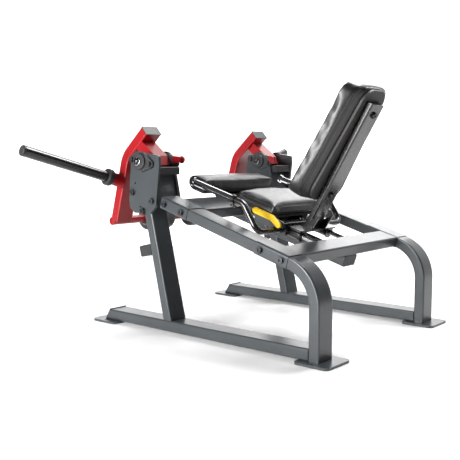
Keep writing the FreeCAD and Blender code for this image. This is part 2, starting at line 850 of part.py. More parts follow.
def back_outline(x, drawn_in, inset):
    """Rounded outline of the backrest seen from the front, at one depth."""
    low, top = back_pad_low + inset, back_pad_low + back_pad_length - inset
    wl = back_width_bottom / 2 - drawn_in - inset
    wt = back_width_top / 2 - drawn_in - inset
    corners = [Vector(x, -wl, low), Vector(x, wl, low), Vector(x, wt, top), Vector(x, -wt, top)]
    slab = Part.Face(Part.makePolygon(corners + [corners[0]])).extrude(X_AXIS)
    slab = slab.makeFillet(back_corner, edges_along(slab, X_AXIS))
    return min(slab.Faces, key=lambda f: f.CenterOfMass.x).OuterWire


def padded_back(sections, inset):
    """Slab with rounded corners through (depth, how far the sides are drawn in) sections."""
    outlines = [back_outline(x, drawn_in, inset) for x, drawn_in in sections]
    return on_back(Part.makeLoft(outlines, True, True))


def back_board():
    return padded_back([(-support_deep - board_thick, back_draw_in),
                        (-support_deep, back_draw_in)], 8)


def back_pad():
    """Near-upright sides as far as the seam, then a shell that slopes in to the board."""
    rear = -support_deep - board_thick
    return padded_back([(rear - back_foam, 0), (rear - back_shell, back_seam_in),
                        (rear, back_draw_in)], 0)


def back_bolts():
    bolts = []
    for t in (support_length - 48, 150.0):
        a = math.radians(back_lean)
        foot = rail_point(back_s, back_n) + Vector(math.sin(a), 0, math.cos(a)) * t
        bolts.append(bolt(foot, Vector(math.cos(a), 0, -math.sin(a))))
    return Part.makeCompound(bolts)


def thigh_pad():
    """Roll-fronted pad ahead of the seat."""
    half = thigh_pad_thick / 2
    s0 = thigh_pad_s
    s1 = s0 + thigh_pad_length - half
    n0 = thigh_pad_n
    w = thigh_pad_width / 2
    block = box(-s1, -s0, -w, w, n0, n0 + thigh_pad_thick)
    roll = cylinder(half, Vector(-s1, -w, n0 + half), Vector(-s1, w, n0 + half))
    return on_rail(block.fuse(roll).removeSplitter())


def thigh_pad_bracket():
    """Plate and two ribs that carry the pad ahead of the front cross member."""
    s0 = front_cross_s + 60
    s1 = thigh_pad_s + thigh_pad_length - 38
    plate = box(-s1, -s0, -150, 150, 0, thigh_pad_n)
    face = front_cross_s + front_cross_wide
    for sign in (1, -1):
        rib = profile([(-face, -1), (-s1 + 8, -1), (-face, -42)], sign * 110 - 4, sign * 110 + 4)
        rib = rib.fuse(box(-s1 + 8, -face, sign * 110 - 4, sign * 110 + 4, -1, 0))
        plate = plate.fuse(rib)
    return on_rail(plate.removeSplitter())


def grip(side):
    """Chrome bar beside the seat."""
    s0 = handle_s
    bar = cylinder(grip_radius, rail_point(s0, grip_height, handle_spread),
                   rail_point(s0 + grip_length, grip_height, handle_spread))
    return mirrored(bar, side)


def grip_end(side):
    """Chrome flange on the front end of the grip."""
    s1 = handle_s + grip_length
    ring = cylinder(grip_radius + 6, rail_point(s1, grip_height, handle_spread),
                    rail_point(s1 + 8, grip_height, handle_spread))
    dome = cone(grip_radius + 2, grip_radius - 5, rail_point(s1 + 8, grip_height, handle_spread),
                rail_point(s1 + 14, grip_height, handle_spread))
    return mirrored(ring.fuse(dome), side)


def grip_collar(side):
    """Clamp ring between the grip and its bent tube, with a set screw below."""
    ring = cylinder(grip_radius + 5, rail_point(handle_s - 16, grip_height, handle_spread),
                    rail_point(handle_s, grip_height, handle_spread))
    return mirrored(ring, side)


def set_screw(side):
    n = grip_height - grip_radius - 14
    shank = cylinder(5, rail_point(handle_s - 26, n, handle_spread),
                     rail_point(handle_s + 4, n, handle_spread))
    lug = cylinder(6, rail_point(handle_s - 8, n, handle_spread),
                   rail_point(handle_s - 8, grip_height - grip_radius - 5, handle_spread))
    return mirrored(shank.fuse(lug), side)


def handle_tube(side):
    """Bent tube from the grip down to the carriage."""
    points = [rail_point(handle_s - 16, grip_height, handle_spread),
              rail_point(handle_s - 62, grip_height, handle_spread),
              rail_point(handle_root_s, handle_root_n, handle_spread),
              rail_point(handle_root_s, handle_root_n, rod_spacing / 2 + housing_radius + 24)]
    return mirrored(round_tube(points, (55, 34), grip_radius - 1), side)


def handle_mount(side):
    """Block that joins the handle to the bearing housing."""
    y0 = rod_spacing / 2 + housing_radius + 4
    block = rounded_bar(-handle_root_s - 26, -handle_root_s + 26, y0, y0 + 20,
                        handle_root_n - 24, carriage_n, 5, Y_AXIS)
    return mirrored(on_rail(block), side)


# ---------------------------------------------------------------- seat lock
def pin_housing():
    """Tube on the carriage plate that guides the seat pin."""
    tube = cylinder(15, rail_point(pin_s, carriage_n - 16), rail_point(pin_s, carriage_n + 9))
    bore = cylinder(pin_radius + fit, rail_point(pin_s, carriage_n - 30),
                    rail_point(pin_s, carriage_n + 30))
    return tube.cut(bore)


def seat_pin():
    """Pin that drops into the index bar, with the collar that the lever lifts."""
    tip = -tube_high + index_thick + 0.6
    shank = cylinder(pin_radius, rail_point(pin_s, tip), rail_point(pin_s, pin_top_n))
    collar = cylinder(11, rail_point(pin_s, pin_top_n - 6), rail_point(pin_s, pin_top_n))
    return shank.fuse(collar)


def lever_bracket():
    """Side plate under the seat that carries the lever's shaft."""
    y0 = -lever_y + 12
    low = handle_root_n + grip_radius + 2
    outline = [(-seat_rear_s - 122, board_n), (-seat_rear_s - 10, board_n),
               (-lever_s - 25, lever_n + 18), (-lever_s + 13, lever_n + 14),
               (-lever_s + 13, low), (-handle_root_s - 18, low),
               (-handle_root_s - 28, low - 18), (-handle_root_s - 118, low - 21)]
    plate = rounded_profile(outline, y0, y0 + 6, 4)
    hole = cylinder(shaft_small + fit, Vector(-lever_s, y0 - 1, lever_n),
                    Vector(-lever_s, y0 + 7, lever_n))
    return on_rail(plate.cut(hole))


def lever_shaft():
    """Cross shaft of the release lever with the finger that lifts the pin."""
    shaft = cylinder(shaft_small, Vector(-lever_s, -lever_y + 2, lever_n),
                     Vector(-lever_s, 24, lever_n))
    tip = pin_s - 2
    finger = box(-tip, -lever_s, 7, 14, lever_n - 3, lever_n + 3)
    other = box(-tip, -lever_s, -14, -7, lever_n - 3, lever_n + 3)
    return on_rail(shaft.fuse(finger).fuse(other).removeSplitter())


def release_lever():
    """Moulded handle on the outer end of the shaft."""
    rise = lever_n + 19
    hub = cylinder(13, Vector(-lever_s, -lever_y - 12, lever_n), Vector(-lever_s, -lever_y, lever_n))
    hub = hub.cut(cylinder(shaft_small, Vector(-lever_s, -lever_y - 5, lever_n),
                           Vector(-lever_s, -lever_y + 1, lever_n)))
    points = [(-lever_s, lever_n, 12), (-lever_s - 8, rise - 14, 12.5), (-lever_s - 42, rise, 13),
              (-lever_s - lever_reach, rise + 2, 13)]
    body = hub
    for a, b in zip(points, points[1:]):
        c1 = Vector(a[0], -lever_y - 12, a[1])
        c2 = Vector(b[0], -lever_y - 12, b[1])
        link = tangent_plate(c1, a[2], c2, b[2], Vector(0, 11, 0))
        link = link.fuse(cylinder(a[2], c1, c1 + Vector(0, 11, 0)))
        if a is not points[0]:
            body = body.fuse(link)
        else:
            body = body.fuse(link.cut(cylinder(shaft_small + 2, Vector(-lever_s, -lever_y - 5, lever_n),
                                               Vector(-lever_s, -lever_y + 1, lever_n))))
    return on_rail(body.removeSplitter())


# ---------------------------------------------------------------- build
def both(make, *values):
    """The same piece on the left and on the right, as one node."""
    return Part.makeCompound([make(*values, side) for name, side in SIDES])


def build_frame():
    bearing_out = frame_half_width + plate_thick
    bearing_in = head_inner - plate_thick
    for name, side in SIDES:
        save("runner_" + name, runner(side))
        save("rear_leg_" + name, rear_leg(side))
        save("rail_" + name, rail(side))
        save("front_post_" + name, front_post(side))
    save("feet_front", both(foot_plate, front_foot_x))
    save("feet_rear", both(foot_plate, rear_foot_x - foot_length))
    save("tube_caps", Part.makeCompound([both(runner_cap), both(post_cap), beam_caps()]))
    save("head_plates_outer", both(head_plate, OUTER_PLATE, frame_half_width))
    save("head_plates_inner", both(head_plate, INNER_PLATE, bearing_in))
    save("head_covers", both(head_cover))
    save("rubber_stops", Part.makeCompound([both(head_stop), both(post_bumper)]))
    save("flange_bearings", Part.makeCompound([both(flange_bearing, bearing_out, 1),
                                               both(flange_bearing, bearing_in, -1)]))
    save("frame_bolts", Part.makeCompound([both(rail_bolts), both(head_bolts), both(head_spacers),
                                           both(bearing_bolts, bearing_out, 1),
                                           both(bearing_bolts, bearing_in, -1)]))
    save("pull_knobs", both(pull_knob))
    save("rail_sleeves", Part.makeCompound([both(sleeve, 0, sleeve_length),
                                            both(sleeve, rail_length - sleeve_length, rail_length)]))
    save("rear_cross_member", cross_member(0, rear_cross_s))
    save("front_cross_member", cross_member(front_cross_s, front_cross_s + front_cross_wide))
    save("centre_beam", centre_beam())
    save("index_bar", index_bar())
    save("guide_rods", both(guide_rod))
    save("rod_flanges", Part.makeCompound([rod_flanges(rod_rear_s, 1),
                                           rod_flanges(rod_front_s, -1)]))
    save("thigh_pad", thigh_pad())
    save("thigh_pad_bracket", thigh_pad_bracket())


def build_lever():
    bearing_out = frame_half_width + plate_thick
    bearing_in = head_inner - plate_thick
    gap = 20.5                      # nut face above the flange, just clear of the boss
    for name, side in SIDES:
        save("lever_arm_" + name, lever_arm(side))
        save("roller_foam_" + name, roller(side))
        save("roller_core_" + name, roller_core(side))
    save("braces", both(brace))
    save("pivot_shafts", Part.makeCompound([both(pivot_shaft),
                                            both(pivot_nut, bearing_out + gap, 1),
                                            both(pivot_nut, bearing_in - gap, -1)]))
    save("lever_caps", Part.makeCompound([both(arm_cap), both(horn_cap)]))
    save("horn_sockets", both(horn_socket))
    save("horn_collars", both(horn_collar))
    save("horns", both(horn))
    save("cross_tube", cross_tube())
    save("roller_stops", roller_stops())


def build_carriage():
    save("bearing_housings", both(bearing_housing))
    save("carriage_plate", carriage_plate())
    save("carriage_brackets", Part.makeCompound([back_gussets(), both(handle_mount)]))
    save("seat_frame", seat_frame())
    save("seat_board", seat_board())
    save("seat_pad", seat_pad())
    save("back_support", back_support())
    save("back_board", back_board())
    save("back_pad", back_pad())
    save("back_bolts", back_bolts())
    save("handle_tubes", both(handle_tube))
    save("grips", Part.makeCompound([both(grip), both(grip_end)]))
    save("grip_collars", Part.makeCompound([both(grip_collar), both(set_screw)]))
    save("pin_housing", pin_housing())
    save("seat_pin", seat_pin())
    save("lever_bracket", lever_bracket())
    save("lever_shaft", lever_shaft())
    save("release_lever", release_lever())


os.makedirs("parts", exist_ok=True)
build_frame()
build_lever()
build_carriage()
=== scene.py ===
"""Looks for the plate-loaded seated leg extension machine, in metres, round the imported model."""
import json
import math

import bmesh
import bpy
import numpy as np
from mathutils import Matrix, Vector
from mathutils.bvhtree import BVHTree


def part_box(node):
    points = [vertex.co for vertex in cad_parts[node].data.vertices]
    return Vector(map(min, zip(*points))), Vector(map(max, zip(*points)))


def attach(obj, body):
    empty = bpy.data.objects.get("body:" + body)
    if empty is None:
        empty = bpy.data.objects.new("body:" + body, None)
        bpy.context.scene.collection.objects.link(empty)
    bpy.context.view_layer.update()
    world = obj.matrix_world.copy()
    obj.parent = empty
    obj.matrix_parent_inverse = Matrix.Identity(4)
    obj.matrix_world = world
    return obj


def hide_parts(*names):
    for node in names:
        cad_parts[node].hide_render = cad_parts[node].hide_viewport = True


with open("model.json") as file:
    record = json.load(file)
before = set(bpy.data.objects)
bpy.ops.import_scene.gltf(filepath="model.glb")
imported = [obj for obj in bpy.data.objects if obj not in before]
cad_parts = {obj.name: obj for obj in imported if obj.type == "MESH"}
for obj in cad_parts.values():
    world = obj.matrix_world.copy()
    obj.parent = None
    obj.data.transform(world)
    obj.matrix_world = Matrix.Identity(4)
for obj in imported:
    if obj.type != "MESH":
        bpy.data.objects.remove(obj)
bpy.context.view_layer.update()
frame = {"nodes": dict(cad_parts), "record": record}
NODES = frame["nodes"]
SLOTS = {p["node"]: p["material_slot"] for p in frame["record"]["subparts"]}

# ---------------------------------------------------------------- camera
CAMERA_AT = Vector((2.1036, -2.7938, 0.7951))
CAMERA_LOOK = Vector((-0.6404, 0.7616, -0.0994))
CAMERA_LENS = 56.99             # mm
CAMERA_SENSOR = 36              # mm
CAMERA_NEAR, CAMERA_FAR = 0.05, 100

# ---------------------------------------------------------------- directions of the tilted parts
SLOPE = math.radians(16.7)      # seat rails
LEAN = math.radians(30.5)       # backrest, from upright
ACROSS = Vector((0, 1, 0))
UP_SLOPE = Vector((-math.cos(SLOPE), 0, math.sin(SLOPE)))
OFF_SLOPE = Vector((math.sin(SLOPE), 0, math.cos(SLOPE)))
UP_BACK = Vector((math.sin(LEAN), 0, math.cos(LEAN)))
OFF_BACK = Vector((-math.cos(LEAN), 0, math.sin(LEAN)))


def make_camera():
    data = bpy.data.cameras.new("camera")
    data.sensor_width = CAMERA_SENSOR
    data.lens = CAMERA_LENS
    data.clip_start = CAMERA_NEAR
    data.clip_end = CAMERA_FAR
    cam = bpy.data.objects.new("camera", data)
    cam.location = CAMERA_AT
    cam.rotation_mode = "QUATERNION"
    cam.rotation_quaternion = CAMERA_LOOK.to_track_quat("-Z", "Y")
    bpy.context.scene.collection.objects.link(cam)
    bpy.context.scene.camera = cam


# ---------------------------------------------------------------- materials
METAL_EDGE = 0.0007             # radius that the shading gives to the edges of metal
MOULDED_EDGE = 0.0012           # the same for plastic, rubber, cast iron and board
EDGE_SAMPLES = 8
PAINT_COAT_ROUGH = 0.22
PLASTIC_COAT_ROUGH = 0.12


class Nodes:
    """Builds one procedural material; scales are in object space."""

    def __init__(self, name):
        self.mat = bpy.data.materials.new(name)
        self.mat.use_nodes = True
        self.tree = self.mat.node_tree
        self.shader = self.tree.nodes["Principled BSDF"]
        self.coords = self.tree.nodes.new("ShaderNodeTexCoord").outputs["Object"]

    def link(self, a, b):
        self.tree.links.new(a, b)

    def set(self, **values):
        for key, value in values.items():
            self.shader.inputs[key.replace("_", " ")].default_value = value

    def noise(self, scale, detail=3.0, rough=0.5, stretch=None):
        node = self.tree.nodes.new("ShaderNodeTexNoise")
        node.inputs["Scale"].default_value = scale
        node.inputs["Detail"].default_value = detail
        node.inputs["Roughness"].default_value = rough
        self.link(self.stretched(stretch), node.inputs["Vector"])
        return node.outputs["Fac"]

    def stretched(self, stretch):
        if stretch is None:
            return self.coords
        node = self.tree.nodes.new("ShaderNodeMapping")
        node.inputs["Scale"].default_value = stretch
        self.link(self.coords, node.inputs["Vector"])
        return node.outputs["Vector"]

    def cells(self, scale, feature="F1"):
        node = self.tree.nodes.new("ShaderNodeTexVoronoi")
        node.feature = feature
        node.inputs["Scale"].default_value = scale
        self.link(self.coords, node.inputs["Vector"])
        return node.outputs["Distance"]

    def remap(self, value, low, high, start=0.3, stop=0.7):
        node = self.tree.nodes.new("ShaderNodeMapRange")
        node.inputs["From Min"].default_value = start
        node.inputs["From Max"].default_value = stop
        node.inputs["To Min"].default_value = low
        node.inputs["To Max"].default_value = high
        self.link(value, node.inputs["Value"])
        return node.outputs["Result"]

    def ramp(self, value, low, high, start=0.3, stop=0.7):
        node = self.tree.nodes.new("ShaderNodeValToRGB")
        first, last = node.color_ramp.elements
        first.position, last.position = start, stop
        first.color, last.color = (*low, 1), (*high, 1)
        self.link(value, node.inputs["Fac"])
        return node.outputs["Color"]

    def bevel(self, radius):
        node = self.tree.nodes.new("ShaderNodeBevel")
        node.samples = EDGE_SAMPLES
        node.inputs["Radius"].default_value = radius
        return node.outputs["Normal"]

    def bump(self, height, strength, distance, normal=None):
        node = self.tree.nodes.new("ShaderNodeBump")
        node.inputs["Strength"].default_value = strength
        node.inputs["Distance"].default_value = distance
        self.link(height, node.inputs["Height"])
        if normal is not None:
            self.link(normal, node.inputs["Normal"])
        return node.outputs["Normal"]

    def mix(self, factor, a, b):
        node = self.tree.nodes.new("ShaderNodeMix")
        node.data_type = "RGBA"
        self.link(factor, node.inputs["Factor"])
        for socket, value in ((node.inputs["A"], a), (node.inputs["B"], b)):
            if isinstance(value, tuple):
                socket.default_value = (*value, 1)
            else:
                self.link(value, socket)
        return node.outputs["Result"]


def paint(name, dark, light, rough, coat, shine):
    """Powder coat: slight colour drift and orange-peel bump, under a thin gloss."""
    n = Nodes(name)
    n.link(n.ramp(n.noise(9, 5), dark, light), n.shader.inputs["Base Color"])
    n.link(n.remap(n.noise(20, 2), rough - 0.02, rough + 0.03), n.shader.inputs["Roughness"])
    n.link(n.bump(n.noise(260, 2), 0.04, 0.0005), n.shader.inputs["Normal"])
    n.set(Coat_Weight=coat, Coat_Roughness=PAINT_COAT_ROUGH, Specular_IOR_Level=shine)
    return n.mat


def metal(name, dark, light, low, high, stretch, bump):
    """Bare or plated metal with drawn or turned marks."""
    n = Nodes(name)
    n.link(n.ramp(n.noise(14, 4), dark, light), n.shader.inputs["Base Color"])
    n.link(n.remap(n.noise(60, 5, 0.6, stretch), low, high), n.shader.inputs["Roughness"])
    if bump:
        n.link(n.bump(n.noise(420, 3, 0.6, stretch), bump, 0.0003, n.bevel(METAL_EDGE)),
               n.shader.inputs["Normal"])
    n.set(Metallic=1.0)
    return n.mat


def moulded(name, dark, light, low, high, grain, bump, coat=0.0):
    """Plastic, rubber or cast iron with a fine-grained skin."""
    n = Nodes(name)
    n.link(n.ramp(n.noise(24, 4), dark, light), n.shader.inputs["Base Color"])
    n.link(n.remap(n.noise(80, 3), low, high), n.shader.inputs["Roughness"])
    n.link(n.bump(n.noise(grain, 3, 0.6), bump, 0.0006, n.bevel(MOULDED_EDGE)),
           n.shader.inputs["Normal"])
    n.set(Coat_Weight=coat, Coat_Roughness=PLASTIC_COAT_ROUGH)
    return n.mat


def leather(name):
    """Black synthetic leather: pebbled grain, soft creases and a faint sheen."""
    n = Nodes(name)
    grain = n.cells(640, "SMOOTH_F1")
    folds = n.noise(55, 6, 0.62)
    share = n.remap(grain, 0.0, 1.0, 0.1, 0.7)
    cover = n.ramp(folds, (0.0035, 0.0036, 0.004), (0.0068, 0.007, 0.0076))
    n.link(n.mix(share, cover, (0.0022, 0.0023, 0.0026)), n.shader.inputs["Base Color"])
    n.link(n.remap(folds, 0.33, 0.47), n.shader.inputs["Roughness"])
    soft = n.bump(folds, 0.10, 0.0016)
    n.link(n.bump(grain, 0.30, 0.0005, soft), n.shader.inputs["Normal"])
    n.set(Coat_Weight=0.25, Coat_Roughness=0.3, Sheen_Weight=0.08)
    return n.mat


def foam_skin(name):
    """Matt foam with small pores in its surface."""
    n = Nodes(name)
    pores = n.cells(900)
    n.link(n.ramp(n.noise(40, 5), (0.022, 0.022, 0.024), (0.042, 0.042, 0.045)),
           n.shader.inputs["Base Color"])
    n.link(n.remap(n.noise(120, 3), 0.62, 0.82), n.shader.inputs["Roughness"])
    n.link(n.bump(pores, 0.35, 0.0005, n.bump(n.noise(150, 4), 0.2, 0.0008)),
           n.shader.inputs["Normal"])
    return n.mat


def stained_board(name):
    """Black-stained plywood with the layers just showing."""
    n = Nodes(name)
    layers = n.noise(30, 6, 0.6, (1, 1, 14))
    n.link(n.ramp(layers, (0.014, 0.013, 0.012), (0.034, 0.031, 0.029)),
           n.shader.inputs["Base Color"])
    n.link(n.remap(layers, 0.5, 0.66), n.shader.inputs["Roughness"])
    n.link(n.bump(layers, 0.25, 0.0006, n.bevel(MOULDED_EDGE)), n.shader.inputs["Normal"])
    return n.mat


def thread(name):
    """Dark twisted sewing thread."""
    n = Nodes(name)
    twist = n.noise(1500, 2)
    n.link(n.ramp(twist, (0.020, 0.020, 0.022), (0.07, 0.07, 0.075)), n.shader.inputs["Base Color"])
    n.link(n.bump(twist, 0.4, 0.0003), n.shader.inputs["Normal"])
    n.set(Roughness=0.6)
    return n.mat


MATERIALS = {
    "frame_paint": paint("graphite_paint", (0.034, 0.039, 0.043), (0.042, 0.048, 0.052),
                         0.30, 0.25, 0.4),
    "arm_paint": paint("red_paint", (0.235, 0.0016, 0.0042), (0.28, 0.0022, 0.0055),
                       0.32, 0.25, 0.35),
    "black_paint": paint("black_paint", (0.006, 0.006, 0.0065), (0.011, 0.011, 0.012),
                         0.26, 0.4, 0.5),
    "cap_plastic": moulded("cap_plastic", (0.008, 0.0085, 0.009), (0.014, 0.0145, 0.015),
                           0.42, 0.56, 900, 0.3),
    "rubber": moulded("rubber", (0.006, 0.006, 0.0065), (0.012, 0.012, 0.013),
                      0.5, 0.66, 500, 0.3),
    "bearing_iron": moulded("bearing_iron", (0.010, 0.0105, 0.0115), (0.020, 0.021, 0.023),
                            0.4, 0.55, 260, 0.5),
    "black_steel": metal("black_oxide", (0.045, 0.046, 0.05), (0.075, 0.077, 0.083),
                         0.32, 0.45, (1, 1, 1), 0.12),
    "zinc_steel": metal("zinc_plate", (0.50, 0.51, 0.53), (0.62, 0.63, 0.64),
                        0.30, 0.42, (1, 12, 1), 0.1),
    "chrome": metal("chrome", (0.74, 0.75, 0.77), (0.82, 0.83, 0.84), 0.06, 0.13, (1, 1, 1), 0),
    "upholstery": leather("synthetic_leather"),
    "board": stained_board("stained_board"),
    "foam": foam_skin("foam_skin"),
    "core_plastic": moulded("core_plastic", (0.10, 0.105, 0.11), (0.14, 0.145, 0.15),
                            0.4, 0.52, 700, 0.25),
    "lever_plastic": moulded("lever_plastic", (0.72, 0.44, 0.002), (0.80, 0.50, 0.003),
                             0.26, 0.34, 300, 0.08, 0.3),
}
THREAD = thread("thread")


def dress_cad_nodes():
    for name, node in NODES.items():
        material = MATERIALS[SLOTS[name]]
        if not node.material_slots:
            node.data.materials.append(material)
        for place in node.material_slots:
            place.material = material


# ---------------------------------------------------------------- mesh tools
def new_object(name, mesh):
    obj = bpy.data.objects.new(name, mesh)
    bpy.context.scene.collection.objects.link(obj)
    return obj


def apply_modifier(obj, kind, **values):
    modifier = obj.modifiers.new(kind.lower(), kind)
    for key, value in values.items():
        setattr(modifier, key, value)
    apply_all(obj)


def apply_all(obj):
    graph = bpy.context.evaluated_depsgraph_get()
    mesh = bpy.data.meshes.new_from_object(obj.evaluated_get(graph))
    obj.modifiers.clear()
    old = obj.data
    obj.data = mesh
    bpy.data.meshes.remove(old)


def smooth(obj):
    obj.data.polygons.foreach_set("use_smooth", [True] * len(obj.data.polygons))


def places(mesh, layer="co"):
    """All of a mesh's points or normals as one array."""
    out = np.zeros(len(mesh.vertices) * 3)
    mesh.vertices.foreach_get(layer, out)
    return out.reshape(-1, 3)


def place(mesh, points):
    mesh.vertices.foreach_set("co", points.ravel())
    mesh.update()


VOXEL = 0.006                   # remesh size of the pads
ROUNDING = 9                    # smoothing passes that round the foam's edges
TAUTNESS = 14                   # smoothing passes that pull the cover tight after the cloth has run
BOARD_INSET = 0.35              # share of the inset that is kept where a pad meets its board
HELD = 0.6                      # points nearer the board than this share of the inset are held still
CLOTH_STEPS = 20
SPACING = 0.004                 # between the points of a seam
RING_RAYS = 720
SEAM_REACH = 3                  # points this many widths outside a seam's own box are left alone
BATCH = 8000                    # points measured against a seam at one time


class Pad:
    """An upholstered pad made from a CAD solid. up, across and off are its own directions."""

    def __init__(self, node, up, off):
        self.node, self.up, self.off = node, up, off
        self.axes = (up, ACROSS, off)
        mesh = NODES[node].data.copy()
        self.obj = new_object("cover_" + node, mesh)
        mesh.materials.clear()
        self.low, self.high = self.extents(v.co for v in mesh.vertices)

    def extents(self, points):
        spans = [[p.dot(a) for a in self.axes] for p in points]
        return [min(c) for c in zip(*spans)], [max(c) for c in zip(*spans)]

    def world(self, a, b, c):
        return self.up * a + ACROSS * b + self.off * c

    def middle(self, i):
        return (self.low[i] + self.high[i]) / 2

    def swell(self, inset, pressure, cap):
        """Remeshes the solid, draws it in, and lets cloth under pressure fill it again."""
        obj = self.obj
        apply_modifier(obj, "REMESH", mode="VOXEL", voxel_size=VOXEL, use_smooth_shade=True)
        apply_modifier(obj, "SMOOTH", factor=0.5, iterations=ROUNDING)
        mesh = obj.data
        off = np.array(self.off)
        points, normals = places(mesh), places(mesh, "normal")
        base = (points @ off - self.low[2]) / inset
        near = np.clip(base, 0, 1)
        normals -= np.outer((normals @ off) * (1 - near), off)
        start = points - normals * (inset * (BOARD_INSET + (1 - BOARD_INSET) * near))[:, None]
        place(mesh, start)
        held = [int(i) for i in np.nonzero(base < HELD)[0]]
        group = obj.vertex_groups.new(name="held")
        group.add(held, 1.0, "REPLACE")
        cloth = obj.modifiers.new("cloth", "CLOTH")
        cloth.settings.use_pressure = True
        cloth.settings.uniform_pressure_force = pressure
        cloth.settings.effector_weights.gravity = 0
        cloth.settings.vertex_group_mass = "held"
        cloth.settings.quality = 5
        cloth.settings.mass = 0.3
        cloth.settings.tension_stiffness = 40
        cloth.settings.compression_stiffness = 40
        cloth.settings.bending_stiffness = 6
        cloth.collision_settings.use_collision = False
        for step in range(1, CLOTH_STEPS + 1):
            bpy.context.scene.frame_set(step)
        apply_all(obj)
        bpy.context.scene.frame_set(1)
        obj.vertex_groups.clear()
        move = places(obj.data) - start
        length = np.linalg.norm(move, axis=1)
        share = cap * np.tanh(length / cap) / np.maximum(length, 1e-9)
        points = start + move * share[:, None]
        points += np.outer(np.maximum(self.low[2] - points @ off, 0), off)
        place(obj.data, points)
        apply_modifier(obj, "SMOOTH", factor=0.5, iterations=TAUTNESS)
        apply_modifier(obj, "SUBSURF", levels=1, render_levels=1)
        smooth(obj)
        self.find_surface()

    def find_surface(self):
        graph = bpy.context.evaluated_depsgraph_get()
        self.tree = BVHTree.FromObject(self.obj, graph)

    def ring(self, rise):
        """The surface's outline at one height above the board, evenly spaced."""
        inner = self.world(self.middle(0), self.middle(1), self.low[2] + rise)
        found = []
        for i in range(RING_RAYS):
            t = math.tau * i / RING_RAYS
            way = self.world(math.cos(t), math.sin(t), 0)
            hit = self.tree.ray_cast(inner + way, -way)
            if hit[0] is not None:
                found.append(hit[0])
        return relaxed(evenly(found + found[:1], SPACING))

    def line(self, points, toward):
        """A run of points brought onto the surface along one direction."""
        found = []
        for p in evenly(points, SPACING):
            hit = self.tree.ray_cast(p - toward, toward)
            if hit[0] is not None:
                found.append(hit[0])
        return evenly(found, SPACING)

    def pinch(self, path, depth, width):
        """Draws the cover in along a seam."""
        mesh = self.obj.data
        points, normals = places(mesh), places(mesh, "normal")
        seam = np.array([list(p) for p in path])
        reach = SEAM_REACH * width
        close = np.nonzero(np.all((points > seam.min(0) - reach) & (points < seam.max(0) + reach),
                                  axis=1))[0]
        for part in np.array_split(close, 1 + len(close) // BATCH):
            gaps = np.linalg.norm(points[part][:, None] - seam[None], axis=2).min(1)
            points[part] -= normals[part] * (depth * np.exp(-(gaps / width) ** 2))[:, None]
        place(mesh, points)
        self.find_surface()

    def on_surface(self, p):
        """The nearest point of the surface, and its normal."""
        hit = self.tree.find_nearest(p)
        return hit[0], hit[1]


def relaxed(loop, reach=4, passes=3):
    """A closed run of points with its small kinks evened out."""
    points = loop[:-1]
    count = len(points)
    for _ in range(passes):
        points = [sum((points[(i + k) % count] for k in range(-reach, reach + 1)), Vector())
                  / (2 * reach + 1) for i in range(count)]
    return points + points[:1]


def evenly(points, spacing):
    """Points at equal steps along a run of points."""
    lengths = [0.0]
    for a, b in zip(points, points[1:]):
        lengths.append(lengths[-1] + (b - a).length)
    total = lengths[-1]
    count = max(2, round(total / spacing))
    out, k = [], 0
    for i in range(count + 1):
        at = total * i / count
        while k < len(points) - 2 and lengths[k + 1] < at:
            k += 1
        step = lengths[k + 1] - lengths[k]
        out.append(points[k].lerp(points[k + 1], (at - lengths[k]) / step if step > 1e-9 else 0))
    return out


def tube_mesh(bm, path, radius, sides, closed):
    """Adds a tube along a path to a bmesh."""
    count = len(path)
    rings = []
    side = None
    for i, p in enumerate(path):
        after = path[(i + 1) % count] if closed or i < count - 1 else p
        before = path[i - 1] if closed or i > 0 else p
        along = (after - before).normalized()
        if side is None:
            side = along.orthogonal().normalized()
        side = (side - along * side.dot(along)).normalized()
        up = along.cross(side)
        rings.append([bm.verts.new(p + (side * math.cos(math.tau * k / sides)
                                        + up * math.sin(math.tau * k / sides)) * radius)
                      for k in range(sides)])
    for i in range(count if closed else count - 1):
        a, b = rings[i], rings[(i + 1) % count]
        best = 0
        if closed and i == count - 1:
            best = min(range(sides), key=lambda s: (a[0].co - b[s].co).length)
        for k in range(sides):
            bm.faces.new((a[k], a[(k + 1) % sides], b[(k + 1 + best) % sides],
                          b[(k + best) % sides]))
    if not closed:
        bm.faces.new(rings[0][::-1])
        bm.faces.new(rings[-1])


def tube_object(name, paths, radius, sides, closed, material, body):
    """One piece made of a tube along each path."""
    bm = bmesh.new()
    for path in paths:
        tube_mesh(bm, path, radius, sides, closed)
    bmesh.ops.recalc_face_normals(bm, faces=bm.faces)
    mesh = bpy.data.meshes.new(name)
    bm.to_mesh(mesh)
    bm.free()
    obj = new_object(name, mesh)
    mesh.materials.append(material)
    smooth(obj)
    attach(obj, body)


STITCH = 0.0055
STITCH_GAP = 0.0025
STITCH_LIFTS = (-0.0003, 0.0005, 0.0005, -0.0003)       # of its points, from end to end
THREAD_RADIUS, THREAD_SIDES = 0.00045, 5
PIPING_RADIUS, PIPING_SIDES = 0.0016, 8


def stitches(pad, paths):
    """Short raised stitches along each path on the pad's surface, as runs of points."""
    runs = []
    for path in paths:
        points = evenly(path, (STITCH + STITCH_GAP) / 4)
        for i in range(0, len(points) - 3, 4):
            run = []
            for k, lift in enumerate(STITCH_LIFTS):
                at, normal = pad.on_surface(points[i + k])
                run.append(at + normal * lift)
            runs.append(run)
    return runs


